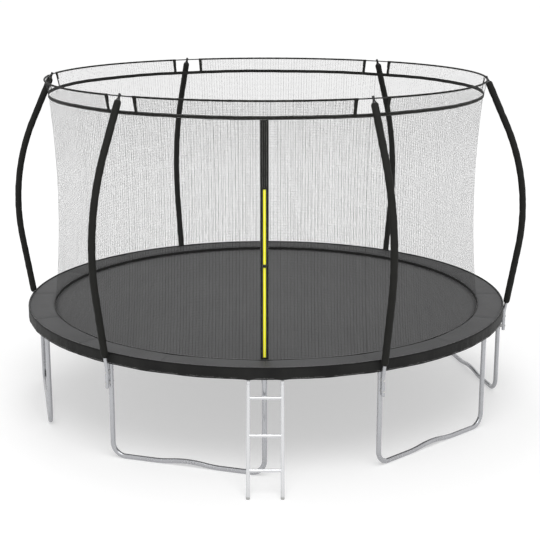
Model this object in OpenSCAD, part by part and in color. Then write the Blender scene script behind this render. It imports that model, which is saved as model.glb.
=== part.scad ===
// Garden trampoline with an inside safety net.
// Millimetres, +Z up. The origin is the centre of the jumping mat's top face,
// and the door and the ladder are on the -Y side.

/* [Frame] */
// Radius of the top rail's centreline
rail_r = 2038; // [1800:1:2200]
// Outside diameter of the top rail tube
rail_d = 42; // [40:0.5:46]
// Wall of all frame tubes
tube_wall = 1.5; // [1.2:0.1:2]
// Height of the mat's top face above the ground
stand_h = 820; // [700:1:950]
// Depth of the rail's centreline below the mat's top face
rail_drop = 9.3; // [6:0.1:16]
// Length of the spigot that joins one rail to the next
spigot_len = 60; // [30:1:80]
// Sliding clearance of one tube inside another, per side
tube_fit = 0.3; // [0.2:0.05:0.4]

/* [Legs] */
// Outside diameter of the leg tubes
leg_d = 38; // [32:0.5:38.5]
// Angle that one leg spans along the rail
leg_span = 35; // [25:1:40]
// Bend radius of a leg's lower corners
leg_bend_r = 105; // [60:1:150]
// Height above the ground at which post and base join
leg_join_h = 330; // [250:1:450]
// Depth of the post's swaged end inside the base
leg_spigot = 60; // [40:1:90]
// Bend radius of the hump in a leg's foot bar
hump_r = 920; // [500:1:1000]
// Slope of the hump's flanks
hump_slope = 8.5; // [6:0.5:14]
// Length of the sockets welded under the rail
socket_len = 60; // [45:1:64]
// Wall of the sockets
socket_wall = 1.4; // [1:0.1:1.5]

/* [Net poles] */
// Angle of the first pole, measured from +X
pole_angle0 = -5.2; // [-10:0.1:10]
// Outside diameter of the pole tube
pole_d = 28; // [25:0.5:32]
// Gap between the pad's outer edge and the pole's foot
pole_gap = 0.6; // [0.6:0.1:10]
// Depth of the pole's lower end below the mat's top face
pole_foot_drop = 240; // [238:1:300]
// Upright length at the pole's foot
pole_foot_len = 145; // [140:1:146]
// Outward lean of the lower stretch
pole_lean = 9.2; // [9:0.1:12]
// Bend radius where the lean starts
pole_kick_r = 150; // [120:1:160]
// Length of the leaning stretch
pole_lean_len = 576; // [450:1:650]
// Radius of the long bow
pole_bow_r = 1820; // [1600:1:2100]
// Inward lean of the top stretch
pole_top_lean = 24.8; // [20:0.1:30]
// Length of the top stretch
pole_top_len = 402; // [300:1:450]
// Thickness of the foam sleeve
foam_t = 13.7; // [8:0.1:13.7]
// Height of the sleeve's lower end above the mat
sleeve_start = 4; // [4:1:40]
// Length of the tip cap's stem
cap_stem = 48; // [42:1:60]
// Diameter of the tip cap's stem
cap_d = 20; // [18:0.5:24]

/* [Pole bolts] */
// Depth of the upper bolts below the mat's top face
upper_bolt = 118; // [116:1:140]
// Depth of the lower bolts below the mat's top face
lower_bolt = 205; // [180:1:208]
// Diameter of the bolts that go through leg and pole
bolt_d = 8; // [6:0.5:10]
// Height of the plastic spacer
spacer_h = 24; // [20:1:40]
// Width of the plastic spacer
spacer_w = 22; // [18:1:26]

/* [Pad] */
// Reach of the pad past the rail's centreline
pad_overhang = 32; // [31:1:44]
// Width of the pad's top face
pad_w = 228; // [200:1:230]
// Thickness of the padding
pad_t = 26; // [15:1:40]
// Rise of the crown in the pad's top face
pad_crown = 4; // [2:0.5:8]
// Number of padded sections, with a sewn channel between two of them
pad_sections = 16; // [8:1:24]
// Width of a sewn channel
channel_w = 16; // [8:1:24]
// Height of the whole outer edge, skirt included
skirt_h = 82; // [60:1:84]
// Thickness of the skirt
skirt_t = 3; // [2:0.5:4]

/* [Mat and springs] */
// Gap between the mat's edge and the rail's centreline
mat_gap = 160; // [150:1:175]
// Thickness of the mat
mat_t = 3; // [2:0.5:5]
// Width of the doubled edge of the mat
mat_edge_w = 44; // [30:1:60]
// Thickness of the doubled edge
mat_edge_t = 7; // [5:0.5:9]
// Number of springs
spring_count = 72; // [36:12:96]
// Outside diameter of the spring coils
spring_d = 20; // [16:1:22]
// Wire diameter of the springs and rings
wire_d = 3.5; // [2.5:0.5:4]
// Radial length of the mat's rings
ring_len = 30; // [26:1:36]
// Width of the mat's rings
ring_w = 36; // [30:1:44]

/* [Net] */
// Radius of the net's narrowest place
waist_r = 1781.4; // [1700:0.1:1790]
// Height of the narrowest place above the mat
waist_z = 988; // [800:1:1100]
// Radius of the net's curve from foot to band
net_curve_r = 8000; // [7900:50:12000]
// Thickness of the net wall
net_t = 2; // [1.5:0.5:3]
// Openings of the net's plain grid across one panel
net_columns = 12; // [6:1:12]
// Openings of the grid from foot to band
net_rows = 12; // [6:1:12]
// Width of the grid's bars
net_bar = 8; // [5:1:12]
// Gap between the net's lower edge and the mat
net_lift = 0.5; // [0.3:0.1:3]
// Height of the band's middle above the mat
band_z = 1822; // [1700:1:1830]
// Height of the band
band_h = 28; // [20:1:40]
// Thickness of bands, straps and webbing
band_t = 3; // [2:0.5:4]
// Diameter of the top hoop
hoop_d = 10; // [8:0.5:12]
// Angle between a pole and the strap beside it
strap_angle = 4.2; // [3:0.1:6]
// Width of a strap
strap_w = 28; // [20:1:40]

/* [Door] */
// Angle of the door's zip, measured from +X
door_angle = -90.2; // [-95:0.1:-85]
// Width of the door's webbing
webbing_w = 66; // [50:1:90]
// Width of the zip tape
zip_w = 26; // [20:1:34]
// Thickness of the webbing and of the zip tape
tape_t = 2; // [1.5:0.5:3]
// Height of the zip's lower end above the mat
zip_z0 = 42; // [40:1:80]
// Height of the zip's upper end above the mat
zip_z1 = 1304; // [1100:1:1500]
// Height at which the two sliders meet
zip_meet = 730; // [600:1:900]
// Width of a slider
slider_w = 28; // [20:1:32]
// Height of a slider
slider_h = 24; // [20:1:30]
// Thickness of a slider
slider_t = 8; // [6:1:10]

/* [Ladder] */
// Width between the centrelines of the ladder's rails
ladder_w = 248; // [220:1:300]
// Diameter of the ladder's tubes
ladder_d = 28; // [25:0.5:28]
// Distance of the ladder's feet from the rail's centreline
ladder_out = 400; // [380:1:500]
// Number of rungs
rung_count = 3; // [2:1:3]
// Height of the lowest rung above the ground
rung_first = 178; // [150:1:220]
// Mean height from one rung to the next
rung_step = 231; // [200:1:240]
// Depth of a middle rung below an even spacing
rung_dip = 11; // [0:1:20]
// Thickness of the hook bar
hook_t = 4; // [4:0.5:6]
// Width of the hook bar
hook_w = 18; // [15:1:22]
// Clearance of the hook round the rail
hook_fit = 1.2; // [1.2:0.1:2]

/* [Hidden] */

$fn = 48;
pole_count = 6;                // net poles, rails, legs and net panels
ring_fn = 360;                 // facets of circles about the trampoline's own axis
seat = 0.3;                    // gap at which one piece rests on another
hair = 0.02;                   // slit between two stretches of one bent tube
step_a = 360 / pole_count;
ground_z = -stand_h;
rail_z = -rail_drop;
rail_lead = (step_a - leg_span) / 2;   // rail in front of its first socket
leg_half = rail_r * sin(leg_span / 2); // half the distance between a leg's two posts
leg_mid_r = rail_r * cos(leg_span / 2);
leg_join_z = ground_z + leg_join_h;
post_top_z = rail_z - rail_d / 2 - 3;
socket_z = post_top_z + 1 - socket_len;

pad_outer = rail_r + pad_overhang;
pad_inner = pad_outer - pad_w;
pad_z0 = rail_z + rail_d / 2 + seat;
pad_z1 = pad_z0 + pad_t;
skirt_z = pad_z1 - skirt_h;

// The pole stands just outside the pad, so this far out from the leg's centreline
pole_offset = pad_overhang + pole_gap + pole_d / 2;
nut_h = 6.5;
bolt_hole = bolt_d + 2 * seat;
sleeve_d = pole_d + 2 * (seat + foam_t);

// The pole's route in its radial plane, from its foot to its tip
pole_r = rail_r + pole_offset;
pole_steps = [
    [0, pole_foot_len],
    [-pole_lean, pole_kick_r],
    [0, pole_lean_len],
    [pole_lean + pole_top_lean, pole_bow_r],
    [0, pole_top_len]
];
kick_z = -pole_foot_drop + pole_foot_len + pole_kick_r * sin(pole_lean);
kick_r = pole_r + pole_kick_r * (1 - cos(pole_lean));
sleeve_skip = (sleeve_start - kick_z) / cos(pole_lean);
sleeve_steps = [
    [0, pole_lean_len - sleeve_skip],
    [pole_lean + pole_top_lean, pole_bow_r],
    [0, pole_top_len - 2]
];
bow_z0 = kick_z + pole_lean_len * cos(pole_lean);
bow_peak_r = kick_r + pole_lean_len * sin(pole_lean) + pole_bow_r * (1 - cos(pole_lean));
tip_r = bow_peak_r - pole_bow_r * (1 - cos(pole_top_lean)) - pole_top_len * sin(pole_top_lean);
tip_z = bow_z0 + pole_bow_r * (sin(pole_lean) + sin(pole_top_lean))
    + pole_top_len * cos(pole_top_lean);
cap_plug = 40;                 // part of the cap inside the pole
hoop_along = 31;               // the hoop's hole in the cap, from the pole's end
hoop_r = tip_r - hoop_along * sin(pole_top_lean);
hoop_z = tip_z + hoop_along * cos(pole_top_lean);

net_z0 = net_lift;
net_z1 = band_z + band_h / 2;
net_widths = 4;                // widths that make up a net panel
net_slit = 0.1;                // slit between two of them
strap_z1 = hoop_z - hoop_d / 2 - seat;
strap_half = arc_angle(strap_w, hoop_r) / 2;
zip_face = 2 * (seat + tape_t);        // from the net to the zip's outer face

mat_r = rail_r - mat_gap;
mat_ring_z = -mat_edge_t / 2;
edge_step = 0.5;               // the sewn edge lies this much under the mat's face
spring_a = 360 / spring_count;
ring_r0 = mat_r + seat;
ring_r1 = ring_r0 + ring_len;
coil_r0 = ring_r1 + 8;
coil_r1 = rail_r - rail_d / 2 - 6;

ladder_x = ladder_w / 2;
hook_y = -sqrt(rail_r * rail_r - ladder_x * ladder_x);
hook_r = rail_d / 2 + hook_fit + hook_t / 2;
foot_lift = 9.5;                            // from the ground to the tube's end
ladder_foot = [hook_y - ladder_out, ground_z + foot_lift];
hook_bend = [hook_y - 0.5 * hook_r, rail_z - 1.2 * hook_r]; // where the bar meets the tube
hook_wrap = 90 - acos(1 / norm([0.5, 1.2])) - atan2(0.5, 1.2); // where it leaves the rail
hook_mouth = 24;                            // angle left open for the rail to go in
ladder_off = ladder_d / 2 + hook_t / 2 + seat; // from the hook bar's middle to the tube's
ladder_reach = norm(hook_bend - ladder_foot);
ladder_lean = atan2(hook_bend[0] - ladder_foot[0], hook_bend[1] - ladder_foot[1])
    + asin(ladder_off / ladder_reach);
ladder_rise = 6;                            // tube above the hook's bend
ladder_len = sqrt(ladder_reach * ladder_reach - ladder_off * ladder_off) + ladder_rise;
hook_tail = 50;                             // hook bar that lies along the tube
rung_d = ladder_d - 3;
plug_len = 25;                              // part of a foot inside the tube

// Outside radius of the net at height z
function net_r(z) = waist_r + net_curve_r
    - sqrt(net_curve_r * net_curve_r - (z - waist_z) * (z - waist_z));
// Outline of a skin that follows the net between two heights, from a to b outside it
function skin(z0, z1, a, b, n = 24) = concat(
    [for (i = [0:n]) let (z = z0 + (z1 - z0) * i / n) [net_r(z) + a, z]],
    [for (i = [n:-1:0]) let (z = z0 + (z1 - z0) * i / n) [net_r(z) + b, z]]
);
// Angle that a width w covers at radius r
function arc_angle(w, r) = w / r * 180 / PI;

// One object in its place at each pole
module at_pole(i) {
    rotate([0, 0, pole_angle0 + i * step_a]) children();
}

module each_pole() {
    for (i = [0:pole_count - 1]) at_pole(i) children();
}

// A ring sector about the trampoline's axis; children are its outline
module sector(start, angle) {
    rotate([0, 0, start]) rotate_extrude(angle = angle, $fn = ring_fn) children();
}

module wall_2d(od, wall) {
    difference() {
        circle(d = od);
        circle(d = od - 2 * wall);
    }
}

// Tube that follows steps in the XZ plane, starting at the origin along +X.
// A step is [0, length] or [turn in degrees, bend radius]; a positive turn goes up.
// Each stretch ends a hair short, and a ring inside the wall joins it to the next one.
module tube_run(steps, od, wall, i = 0) {
    turn = steps[i][0];
    size = steps[i][1];
    side = turn < 0 ? -1 : 1;
    bend = abs(turn);
    if (turn == 0) {
        rotate([0, 90, 0]) linear_extrude(size - hair) wall_2d(od, wall);
    } else {
        translate([0, 0, side * size])
            rotate([90, 0, 0])
            rotate([0, 0, turn < 0 ? 90 + turn + arc_angle(hair, size) : -90])
            rotate_extrude(angle = bend - arc_angle(hair, size), $fn = size > 400 ? ring_fn : 96)
            translate([size, 0]) rotate(turn < 0 ? 180 : 0) wall_2d(od, wall);
    }
    if (i + 1 < len(steps))
        translate(turn == 0 ? [size, 0, 0] : [size * sin(bend), 0, side * size * (1 - cos(bend))])
        rotate([0, -turn, 0]) {
            translate([-1, 0, 0]) rotate([0, 90, 0]) linear_extrude(2)
                wall_2d(od - wall / 2, wall / 2);
            tube_run(steps, od, wall, i + 1);
        }
}

// ---------------------------------------------------------------- frame

// A sixth of the top rail with its two welded sockets and its spigot
module top_rail(i) {
    spigot_a = arc_angle(spigot_len, rail_r);
    neck_a = arc_angle(4, rail_r);
    inner_d = rail_d - 2 * tube_wall;
    spigot_d = inner_d - 2 * tube_fit;
    color("silver") at_pole(i) {
        difference() {
            union() {
                sector(-rail_lead, step_a) translate([rail_r, rail_z]) circle(d = rail_d);
                for (a = [0, leg_span]) rotate([0, 0, a])
                    translate([rail_r, 0, socket_z])
                    cylinder(d = leg_d + 2 * (tube_fit + socket_wall), h = rail_z - socket_z);
            }
            sector(-rail_lead - 1, step_a + 2) translate([rail_r, rail_z]) circle(d = inner_d);
            for (a = [0, leg_span]) rotate([0, 0, a])
                translate([rail_r, 0, socket_z - 1])
                cylinder(d = leg_d + 2 * tube_fit, h = socket_len + 1);
        }
        sector(step_a - rail_lead - neck_a, neck_a) translate([rail_r, rail_z])
            wall_2d(inner_d + tube_wall, tube_fit + 1.5 * tube_wall);
        sector(step_a - rail_lead - neck_a, neck_a + spigot_a) translate([rail_r, rail_z])
            wall_2d(spigot_d, tube_wall);
    }
}

// Upright tube between a socket and a leg base, swaged at its lower end
module leg_post() {
    spigot_d = leg_d - 2 * tube_wall - 2 * tube_fit;
    rotate_extrude() polygon([
        [spigot_d / 2 - tube_wall, leg_join_z - leg_spigot],
        [spigot_d / 2, leg_join_z - leg_spigot],
        [spigot_d / 2, leg_join_z],
        [leg_d / 2, leg_join_z],
        [leg_d / 2, post_top_z],
        [leg_d / 2 - tube_wall, post_top_z],
        [leg_d / 2 - tube_wall, leg_join_z + 10],
        [spigot_d / 2 - tube_wall, leg_join_z + 4]
    ]);
}

// The post under a net pole has two bolt holes
module leg_posts(i) {
    color("silver") at_pole(i) {
        difference() {
            translate([rail_r, 0, 0]) leg_post();
            at_bolts() rotate([0, 90, 0]) cylinder(d = bolt_hole, h = leg_d + 10, center = true);
        }
        rotate([0, 0, leg_span]) translate([rail_r, 0, 0]) leg_post();
    }
}

// U-shaped foot with a shallow hump, in the upright plane through its two posts
module leg_base(i) {
    foot_z = ground_z + leg_d / 2;
    hump_run = 4 * hump_r * sin(hump_slope);
    flat = leg_half - leg_bend_r - hump_run / 2;
    stub = leg_join_z - foot_z - leg_bend_r;
    steps = [
        [0, stub],
        [90, leg_bend_r],
        [0, flat],
        [hump_slope, hump_r],
        [-2 * hump_slope, hump_r],
        [hump_slope, hump_r],
        [0, flat],
        [90, leg_bend_r],
        [0, stub]
    ];
    color("silver") at_pole(i) rotate([0, 0, leg_span / 2 + 90])
        translate([-leg_half, -leg_mid_r, leg_join_z])
        rotate([0, 90, 0]) tube_run(steps, leg_d, tube_wall);
}

// Self-tapping screws that lock the posts in their sockets
module frame_screws() {
    head = 5;
    color("dimgray") each_pole() for (a = [0, leg_span]) rotate([0, 0, a])
        translate([rail_r - leg_d / 2 - tube_fit - socket_wall, 0, socket_z + 20])
        rotate([0, -90, 0]) {
            cylinder(d = 11, h = head);
            translate([0, 0, head]) cylinder(d = 6, h = 1, $fn = 6);
        }
}

// ---------------------------------------------------------------- net poles

module net_pole(i) {
    color("silver") at_pole(i) difference() {
        translate([pole_r, 0, -pole_foot_drop])
            rotate([0, -90, 0]) tube_run(pole_steps, pole_d, tube_wall);
        at_bolts() translate([pole_offset, 0, 0])
            rotate([0, 90, 0]) cylinder(d = bolt_hole, h = pole_d + 10, center = true);
    }
}

module foam_sleeve(i) {
    skip_r = kick_r + sleeve_skip * sin(pole_lean);
    inner_d = pole_d + 2 * seat;
    color("black") at_pole(i)
        translate([skip_r, 0, sleeve_start])
        rotate([0, pole_lean - 90, 0])
        tube_run(sleeve_steps, sleeve_d, (sleeve_d - inner_d) / 2);
}

// Plug in the pole's tip with a stem that holds the hoop
module pole_caps() {
    plug_d = pole_d - 2 * tube_wall - 2 * seat;
    color("black") each_pole()
        translate([tip_r, 0, tip_z]) rotate([0, -pole_top_lean, 0])
        difference() {
            union() {
                translate([0, 0, -cap_plug]) cylinder(d = plug_d, h = cap_plug);
                cylinder(d = pole_d, h = 6);
                translate([0, 0, 6]) cylinder(d1 = pole_d, d2 = cap_d, h = 8);
                translate([0, 0, 14]) cylinder(d = cap_d, h = cap_stem - 14);
            }
            translate([0, 0, hoop_along]) rotate([90, 0, 0])
                cylinder(d = hoop_d + 2 * seat, h = cap_d * 2, center = true);
        }
}

// ---------------------------------------------------------------- pole bolts

// The two bolts of one pole, from the leg's centreline outwards
module at_bolts() {
    for (drop = [upper_bolt, lower_bolt])
        translate([rail_r, 0, -drop]) children();
}

// Plastic block between leg and pole, with a seat for each tube
module pole_spacers() {
    color("gray") each_pole() at_bolts() difference() {
        translate([0, 0, -spacer_h / 2]) linear_extrude(spacer_h) difference() {
            translate([8, -spacer_w / 2]) square([pole_offset - 14, spacer_w]);
            circle(d = leg_d + 2 * seat);
            translate([pole_offset, 0]) circle(d = pole_d + 2 * seat);
        }
        rotate([0, 90, 0]) cylinder(d = bolt_hole, h = pole_offset);
    }
}

// Long bolt with a low round head on the pole's outer side
module pole_bolts() {
    tail = leg_d / 2 + seat + nut_h + 3;
    head_x = pole_offset + pole_d / 2 + seat;
    color("silver") each_pole() at_bolts() rotate([0, 90, 0]) {
        translate([0, 0, -tail]) cylinder(d = bolt_d, h = tail + head_x + 1);
        translate([0, 0, head_x]) cylinder(d = 2 * bolt_d, h = 1.5);
        translate([0, 0, head_x + 1.5]) cylinder(d1 = 2 * bolt_d, d2 = bolt_d, h = 2.5);
    }
}

module pole_nuts() {
    color("silver") each_pole() at_bolts()
        translate([-leg_d / 2 - seat - nut_h, 0, 0])
        rotate([0, 90, 0]) linear_extrude(nut_h) difference() {
            circle(d = 1.9 * bolt_d, $fn = 6);
            circle(d = bolt_d + 0.2);
        }
}

// ---------------------------------------------------------------- net

// Outline of the strip between band and hoop, from a to b outside the net
function top_skin(a, b) = [
    [net_r(net_z1) + a, net_z1 + seat],
    [net_r(net_z1) + b, net_z1 + seat],
    [hoop_r - net_t / 2 + b, strap_z1],
    [hoop_r - net_t / 2 + a, strap_z1]
];

// Plain grid for the fine netting of one panel: upright bars, and level bars a little thinner.
// It is made in a few widths side by side, a narrow slit apart.
module net_panel(i) {
    edge = arc_angle(net_bar / 2 + 0.3, waist_r);
    pitch = (step_a - 2 * edge) / net_columns;
    rise = (net_z1 - net_z0 - net_bar) / net_rows;
    short = arc_angle(net_bar / 2 + net_slit, waist_r - net_t);
    first = [for (s = [0:net_widths]) round(s * net_columns / net_widths)];
    color([0.1, 0.1, 0.1, 0.5]) at_pole(i) for (s = [0:net_widths - 1]) {
        whole = s == net_widths - 1;
        for (k = [first[s]:first[s + 1] - (whole ? 0 : 1)]) rotate([90, 0, edge + k * pitch])
            linear_extrude(net_bar, center = true) polygon(skin(net_z0, net_z1, -net_t, 0, 18));
        for (k = [0:net_rows])
            let (z = net_z0 + k * rise, inset = k == 0 || k == net_rows ? 0.2 : 0)
            sector(edge + first[s] * pitch, (first[s + 1] - first[s]) * pitch - (whole ? 0 : short))
            polygon(skin(z + inset, z + net_bar - inset, 0.4 - net_t, -0.4, 1));
    }
}

module net_band() {
    color("black") sector(0, 360)
        polygon(skin(band_z - band_h / 2, band_z + band_h / 2, seat, seat + band_t, 1));
}

module net_straps() {
    color("black") each_pole() for (a = [-strap_angle, strap_angle])
        sector(a - strap_half, 2 * strap_half) polygon(top_skin(0, band_t));
}

module net_top() {
    first = strap_angle + strap_half + 0.02;
    color([0.1, 0.1, 0.1, 0.5]) each_pole()
        sector(first, step_a - 2 * first) polygon(top_skin(0, net_t));
}

module top_hoop() {
    color("black") sector(0, 360) translate([hoop_r, hoop_z]) circle(d = hoop_d);
}

// ---------------------------------------------------------------- door

module door_webbing() {
    a = arc_angle(webbing_w, waist_r);
    color("black") sector(door_angle - a / 2, a)
        polygon(skin(pad_z1, band_z - band_h / 2 - seat, seat, seat + tape_t));
}

module zip_tape() {
    a = arc_angle(zip_w, waist_r);
    color("yellow") sector(door_angle - a / 2, a)
        polygon(skin(zip_z0, zip_z1, zip_face - tape_t, zip_face));
}

// A slider with its bridge and its pull tab, middle at height z
module zip_slider(z) {
    tab_h = slider_h - 4;
    face = max(net_r(z - slider_h / 2), net_r(z + slider_h / 2)) + zip_face + seat;
    color("black") rotate([0, 0, door_angle]) translate([face, 0, z]) {
        translate([0, -slider_w / 2, -slider_h / 2]) cube([slider_t, slider_w, slider_h]);
        translate([slider_t, -4, slider_h / 2 - 10]) cube([5, 8, 6]);
        translate([slider_t + 2, -6, slider_h / 2 - 4 - tab_h + 1])
            difference() {
                cube([2.5, 12, tab_h - 1]);
                translate([-1, 6, 6]) rotate([0, 90, 0]) cylinder(d = 5, h = 5);
            }
    }
}

module zip_slider_lower() {
    zip_slider(zip_meet - slider_h / 2 - 0.5);
}

module zip_slider_upper() {
    zip_slider(zip_meet + slider_h / 2 + 0.5);
}

// ---------------------------------------------------------------- pad, mat and springs

// Padded ring: crowned, with sewn channels, a skirt and a hollow over each ladder hook
module safety_pad() {
    color("dimgray") difference() {
        sector(0, 360) polygon([
            [pad_inner, pad_z0],
            [pad_outer - skirt_t, pad_z0],
            [pad_outer - skirt_t, skirt_z],
            [pad_outer, skirt_z],
            [pad_outer, pad_z1 - 4],
            [pad_outer - 4, pad_z1],
            [pad_outer - pad_w * 0.2, pad_z1 + pad_crown * 0.7],
            [pad_outer - pad_w * 0.4, pad_z1 + pad_crown],
            [pad_outer - pad_w * 0.6, pad_z1 + pad_crown],
            [pad_outer - pad_w * 0.8, pad_z1 + pad_crown * 0.4],
            [pad_inner + 12, pad_z1 - 3],
            [pad_inner + 3, pad_z1 - 7],
            [pad_inner, pad_z1 - 12]
        ]);
        for (i = [0:pad_sections - 1]) rotate([0, 0, i * 360 / pad_sections])
            translate([pad_inner - 5, 0, pad_z1]) rotate([90, 0, 90])
            linear_extrude(pad_w - 5) polygon([
                [-channel_w / 2, pad_crown + 1],
                [0, -5],
                [channel_w / 2, pad_crown + 1]
            ]);
        for (s = [-1, 1]) translate([s * ladder_x, hook_y, rail_z])
            rotate([0, 90, 0])
            cylinder(r = hook_r + hook_t / 2 + 1, h = hook_w + 4, center = true);
    }
}

module mat() {
    color("dimgray") sector(0, 360) polygon([
        [0, -mat_t],
        [mat_r - mat_edge_w, -mat_t],
        [mat_r - mat_edge_w, -mat_edge_t],
        [mat_r, -mat_edge_t],
        [mat_r, -edge_step],
        [mat_r - mat_edge_w, -edge_step],
        [mat_r - mat_edge_w, 0],
        [0, 0]
    ]);
}

module each_spring() {
    for (i = [0:spring_count - 1]) rotate([0, 0, (i + 0.5) * spring_a]) children();
}

// Wire rings sewn into the mat's edge, one for each spring
module mat_rings() {
    w = wire_d;
    color("silver") each_spring() translate([0, 0, mat_ring_z - w / 2])
        linear_extrude(w) difference() {
            polygon([
                [ring_r0, -ring_w / 2],
                [ring_r1 - w, -w * 1.6],
                [ring_r1, 0],
                [ring_r1 - w, w * 1.6],
                [ring_r0, ring_w / 2]
            ]);
            polygon([
                [ring_r0 + w, -ring_w / 2 + 2.4 * w],
                [ring_r1 - 1.5 * w, -w * 0.7],
                [ring_r1 - 1.5 * w, w * 0.7],
                [ring_r0 + w, ring_w / 2 - 2.4 * w]
            ]);
        }
}

// Closed coil with a hook over the ring and a hook into the rail
module springs() {
    hook_z = mat_ring_z + wire_d + seat;
    pin_r = ring_r1 - 3.2 * wire_d;
    color("silver") each_spring() {
        translate([coil_r0, 0, hook_z]) rotate([0, 90, 0])
            cylinder(d = spring_d, h = coil_r1 - coil_r0);
        translate([pin_r, 0, hook_z]) rotate([0, 90, 0])
            cylinder(d = wire_d, h = coil_r0 - pin_r);
        translate([coil_r1, 0, hook_z]) rotate([0, 90, 0])
            cylinder(d = wire_d, h = rail_r - rail_d / 2 - seat - coil_r1);
    }
}

// ---------------------------------------------------------------- ladder

// Place and direction of the ladder's tubes: +Z runs up the ladder
module on_ladder(x) {
    translate([x, ladder_foot[0], ladder_foot[1]]) rotate([-ladder_lean, 0, 0]) children();
}

function rung_height(i) = rung_first + i * rung_step - (i == 1 ? rung_dip : 0);
function rung_at(i) = (rung_height(i) - foot_lift) / cos(ladder_lean);

module ladder_rails() {
    color("gainsboro") for (s = [-1, 1]) on_ladder(s * ladder_x)
        linear_extrude(ladder_len) wall_2d(ladder_d, tube_wall);
}

// Rungs with ends shaped to the rails they are welded to
module ladder_rungs() {
    color("gainsboro") for (i = [0:rung_count - 1]) on_ladder(0)
        translate([0, 0, rung_at(i)]) difference() {
            translate([-ladder_x, 0, 0]) rotate([0, 90, 0])
                linear_extrude(ladder_w) wall_2d(rung_d, tube_wall);
            for (s = [-1, 1]) translate([s * ladder_x, 0, -ladder_d])
                cylinder(d = ladder_d + 2 * seat, h = 2 * ladder_d);
        }
}

// One face of a hook's bar, t outside its middle, from its nose over the rail to its tail
function hook_face(t, steps = 32) = let (
    out = [-cos(ladder_lean), sin(ladder_lean)],
    corner = (out - [cos(hook_wrap), sin(hook_wrap)]) / (1 + cos(hook_wrap + ladder_lean))
) concat(
    [for (i = [0:steps]) let (a = hook_wrap - hook_mouth + (180 + hook_mouth) * i / steps)
        [hook_y + (hook_r + t) * cos(a), rail_z + (hook_r + t) * sin(a)]],
    [hook_bend + t * corner],
    [hook_bend - hook_tail * [sin(ladder_lean), cos(ladder_lean)] + t * out]
);

// Flat bar bent over the rail and welded to the front of the ladder's tube
module ladder_hooks() {
    inside = hook_face(-hook_t / 2);
    color("silver") for (s = [-1, 1])
        translate([s * ladder_x - hook_w / 2, 0, 0]) rotate([90, 0, 90])
        linear_extrude(hook_w)
        polygon(concat(hook_face(hook_t / 2), [for (i = [len(inside) - 1:-1:0]) inside[i]]));
}

// Plug in the end of each tube, with a foot cut level with the ground
module ladder_feet() {
    color("gray") for (s = [-1, 1]) difference() {
        on_ladder(s * ladder_x) {
            translate([0, 0, -ladder_d]) cylinder(d = ladder_d, h = ladder_d - seat);
            translate([0, 0, -2]) cylinder(d = ladder_d - 2 * tube_wall - 2 * seat, h = plug_len + 2);
        }
        translate([s * ladder_x - 50, ladder_foot[0] - 100, ground_z - 60])
            cube([100, 200, 60]);
    }
}

for (i = [0:pole_count - 1]) {
    top_rail(i);
    leg_posts(i);
    leg_base(i);
    net_pole(i);
    foam_sleeve(i);
    net_panel(i);
}
frame_screws();
pole_spacers();
pole_bolts();
pole_nuts();
pole_caps();
top_hoop();
net_band();
net_straps();
net_top();
door_webbing();
zip_tape();
zip_slider_lower();
zip_slider_upper();
safety_pad();
springs();
mat();
mat_rings();
ladder_rails();
ladder_rungs();
ladder_hooks();
ladder_feet();
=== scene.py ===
import math
import random

import bpy
import numpy as np
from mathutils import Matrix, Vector


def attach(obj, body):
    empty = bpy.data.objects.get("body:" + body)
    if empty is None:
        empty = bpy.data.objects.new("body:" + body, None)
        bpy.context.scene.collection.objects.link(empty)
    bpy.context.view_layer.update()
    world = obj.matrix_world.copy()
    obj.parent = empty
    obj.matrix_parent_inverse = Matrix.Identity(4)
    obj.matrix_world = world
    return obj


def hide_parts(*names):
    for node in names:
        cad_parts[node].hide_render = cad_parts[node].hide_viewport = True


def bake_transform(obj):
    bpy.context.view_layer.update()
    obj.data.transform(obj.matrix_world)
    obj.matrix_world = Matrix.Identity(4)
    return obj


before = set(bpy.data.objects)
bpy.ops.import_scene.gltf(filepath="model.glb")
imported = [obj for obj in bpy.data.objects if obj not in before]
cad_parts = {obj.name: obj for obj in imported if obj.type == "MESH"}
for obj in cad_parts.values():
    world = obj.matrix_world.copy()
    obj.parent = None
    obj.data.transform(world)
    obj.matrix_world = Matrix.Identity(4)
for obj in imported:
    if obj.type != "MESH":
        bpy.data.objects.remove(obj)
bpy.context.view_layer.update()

# ------------------------------------------------------------------ top rail and legs
# Six curved rails and six U-shaped legs of thin steel tube, pushed into each other.
# The hot zinc coat is satin, with faint spangle, and duller where it meets the grass.
RAIL_R, GROUND = 2.038, -0.820
POLES, STEP, POLE0, LEG_SPAN = 6, math.pi / 3, math.radians(-5.2), math.radians(35)


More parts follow.
